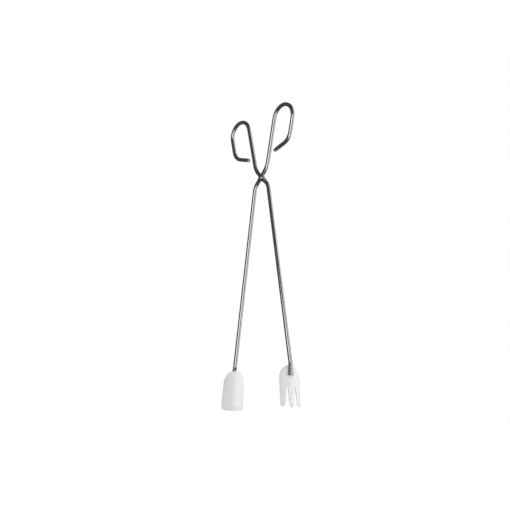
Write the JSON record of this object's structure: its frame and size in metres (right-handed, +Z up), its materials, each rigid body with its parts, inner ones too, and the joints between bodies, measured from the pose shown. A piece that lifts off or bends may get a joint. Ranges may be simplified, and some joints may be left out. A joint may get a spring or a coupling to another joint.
{
  "type": "wire scissor tongs",
  "caption": "Scissor tongs of bent round wire with open finger loops, riveted where the arms cross, with a sheet spatula head and a sheet fork head.",
  "frame": {"origin": "centre of the round top of the right finger loop, where a finger or a hook holds the tongs, half way between the two arms", "axes": "+Z up along the tongs towards the finger loops, heads down; the arms open and close along X, with the spatula on the -X side; Y is the direction of the rivet, with the spatula's arm in front on the -Y side"},
  "size_m": [0.1301, 0.0361, 0.3867],
  "materials": {
    "plated_wire": "polished",
    "head_sheet": "bright satin",
    "rivet_steel": "polished"
  },
  "bodies": {
    "spatula_side": {"spatula_arm": "plated_wire", "spatula_head": "head_sheet", "pivot_rivet": "rivet_steel"},
    "fork_side": {"fork_arm": "plated_wire", "fork_head": "head_sheet"}
  },
  "joints": [
    {"name": "arms_pivot", "type": "hinge", "parent": "spatula_side", "child": "fork_side", "pos_m": [-0.04482, 0, -0.06953], "axis": [0, -1, 0], "range_deg": [-20.6, 40]}
  ]
}
